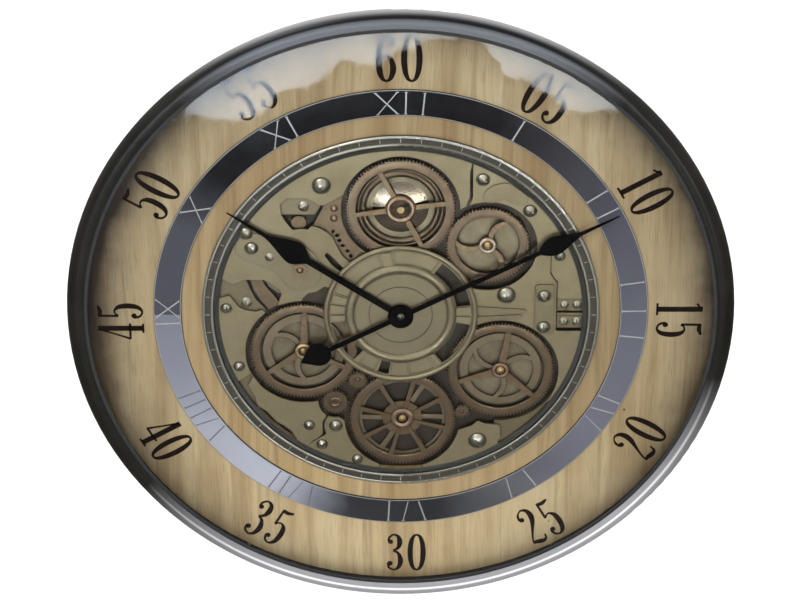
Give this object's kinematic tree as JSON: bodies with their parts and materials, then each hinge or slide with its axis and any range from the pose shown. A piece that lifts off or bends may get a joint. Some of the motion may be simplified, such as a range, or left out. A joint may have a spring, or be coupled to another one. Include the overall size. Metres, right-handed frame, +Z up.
{
  "type": "wall clock",
  "caption": "Large round wall clock with a wooden dial, a mirror numeral band and a window onto turning gears between bronze plates.",
  "frame": {"origin": "on the hands' axis, at the wall plane that the clock's back rests on", "axes": "+Y from the face into the wall, +Z up, +X to the right as seen from the front"},
  "size_m": [0.5999, 0.0626, 0.6],
  "materials": {
    "gunmetal": "satin",
    "black_rubber": "matt",
    "clear_glass": "polished",
    "black_steel": "satin",
    "dial_wood": "satin",
    "dark_mirror": "polished",
    "track_steel": "brushed",
    "black_paint": "satin",
    "dark_bronze": "brushed",
    "bronze": "brushed",
    "copper": "brushed",
    "pale_bronze": "brushed",
    "brass": "satin",
    "screw_steel": "polished",
    "polished_chrome": "polished",
    "copper_gear": "brushed",
    "dark_copper": "brushed",
    "hand_black": "matt",
    "black_plastic": "matt",
    "white_plastic": "matt",
    "cell_label": "satin"
  },
  "bodies": {
    "clock": {"bezel_ring": "gunmetal", "glass_gasket": "black_rubber", "front_glass": "clear_glass", "case_tray": "black_steel", "dial_board": "dial_wood", "mirror_band": "dark_mirror", "track_ring": "track_steel", "track_inlay": "black_paint", "base_plate": "dark_bronze", "top_plate": "bronze", "upper_right_plate": "bronze", "right_plate": "bronze", "left_plate": "bronze", "lower_left_plate": "bronze", "bottom_left_plate": "bronze", "lower_right_plate": "bronze", "raised_plates": "bronze", "sunk_plates": "dark_bronze", "copper_straps": "copper", "centre_spider": "bronze", "centre_disc": "pale_bronze", "centre_ring": "pale_bronze", "plate_posts": "brass", "large_screws": "screw_steel", "plate_screws": "screw_steel", "rivets": "copper", "case_screws": "screw_steel", "top_dome": "polished_chrome", "arbor_bushes": "brass", "quartz_case": "black_plastic", "fixing_bush": "brass", "fixing_nut": "brass", "chassis_plate": "black_steel", "chassis_pillars": "screw_steel", "gear_motor": "black_plastic", "battery_box": "black_plastic", "battery_cells": "cell_label", "rear_cover": "black_plastic", "hanger_plate": "screw_steel"},
    "top_wheel": {"top_gear": "copper_gear"},
    "upper_right_wheel": {"upper_right_gear": "copper_gear", "upper_right_back_gear": "dark_copper"},
    "lower_right_wheel": {"lower_right_gear": "copper_gear", "lower_right_back_wheel": "dark_copper", "lower_right_back_gear": "dark_copper"},
    "bottom_wheel": {"bottom_gear": "copper_gear", "bottom_back_wheel": "dark_copper"},
    "lower_left_wheel": {"lower_left_gear": "copper_gear", "lower_left_back_wheel": "dark_copper"},
    "left_idler_wheel": {"left_idler": "brass"},
    "lower_idler_wheel": {"lower_idler": "brass"},
    "transfer_wheel": {"transfer_gear": "dark_copper"},
    "motor_pinion": {"drive_pinion": "brass"},
    "hour_hand_set": {"hour_hand": "hand_black", "hour_tube": "brass"},
    "minute_hand_set": {"minute_hand": "hand_black", "minute_arbor": "screw_steel"},
    "knob": {"set_knob": "white_plastic"},
    "switch": {"switch_slider": "black_plastic"},
    "door": {"battery_door": "black_plastic"}
  },
  "joints": [
    {"name": "bottom_spin", "type": "hinge", "parent": "clock", "child": "bottom_wheel", "pos_m": [0.0015, 0, -0.11059], "axis": [0, 1, 0], "continuous": true},
    {"name": "left_idler_spin", "type": "hinge", "parent": "clock", "child": "left_idler_wheel", "pos_m": [-0.03915, 0, -0.06993], "axis": [0, 1, 0], "continuous": true},
    {"name": "lower_left_spin", "type": "hinge", "parent": "clock", "child": "lower_left_wheel", "pos_m": [-0.08799, 0, -0.0396], "axis": [0, 1, 0], "continuous": true},
    {"name": "pinion_spin", "type": "hinge", "parent": "clock", "child": "motor_pinion", "pos_m": [-0.05987, 0, -0.09315], "axis": [0, 1, 0], "continuous": true},
    {"name": "lower_idler_spin", "type": "hinge", "parent": "clock", "child": "lower_idler_wheel", "pos_m": [0.05648, 0, -0.10305], "axis": [0, 1, 0], "continuous": true},
    {"name": "lower_right_spin", "type": "hinge", "parent": "clock", "child": "lower_right_wheel", "pos_m": [0.09099, 0, -0.05959], "axis": [0, 1, 0], "continuous": true},
    {"name": "transfer_spin", "type": "hinge", "parent": "clock", "child": "transfer_wheel", "pos_m": [0.07023, 0, 0.00934], "axis": [0, 1, 0], "continuous": true},
    {"name": "upper_right_spin", "type": "hinge", "parent": "clock", "child": "upper_right_wheel", "pos_m": [0.07749, 0, 0.06889], "axis": [0, 1, 0], "continuous": true},
    {"name": "top_spin", "type": "hinge", "parent": "clock", "child": "top_wheel", "pos_m": [0, 0, 0.105], "axis": [0, 1, 0], "continuous": true},
    {"name": "minute_spin", "type": "hinge", "parent": "clock", "child": "minute_hand_set", "pos_m": [0, 0, 0], "axis": [0, 1, 0], "continuous": true},
    {"name": "hour_spin", "type": "hinge", "parent": "clock", "child": "hour_hand_set", "pos_m": [0, 0, 0], "axis": [0, 1, 0], "continuous": true},
    {"name": "knob_spin", "type": "hinge", "parent": "clock", "child": "knob", "pos_m": [0.014, 0, -0.014], "axis": [0, 1, 0], "continuous": true},
    {"name": "switch_slide", "type": "slide", "parent": "clock", "child": "switch", "axis": [0, 0, 1], "range_m": [0, 0.004]},
    {"name": "door_hinge", "type": "hinge", "parent": "clock", "child": "door", "pos_m": [0, -0.00075, -0.10525], "axis": [-1, 0, 0], "range_deg": [0, 110]}
  ],
  "couplings": [
    {"joint": "left_idler_spin", "follows": "bottom_spin", "ratio": -5.3889},
    {"joint": "lower_left_spin", "follows": "bottom_spin", "ratio": 1},
    {"joint": "pinion_spin", "follows": "bottom_spin", "ratio": -4.0417},
    {"joint": "lower_idler_spin", "follows": "bottom_spin", "ratio": -6.9286},
    {"joint": "lower_right_spin", "follows": "bottom_spin", "ratio": 1},
    {"joint": "transfer_spin", "follows": "bottom_spin", "ratio": -1.25},
    {"joint": "upper_right_spin", "follows": "bottom_spin", "ratio": 1.4286},
    {"joint": "top_spin", "follows": "bottom_spin", "ratio": -1.0898},
    {"joint": "hour_spin", "follows": "minute_spin", "ratio": 0.083333},
    {"joint": "knob_spin", "follows": "minute_spin", "ratio": -1}
  ]
}
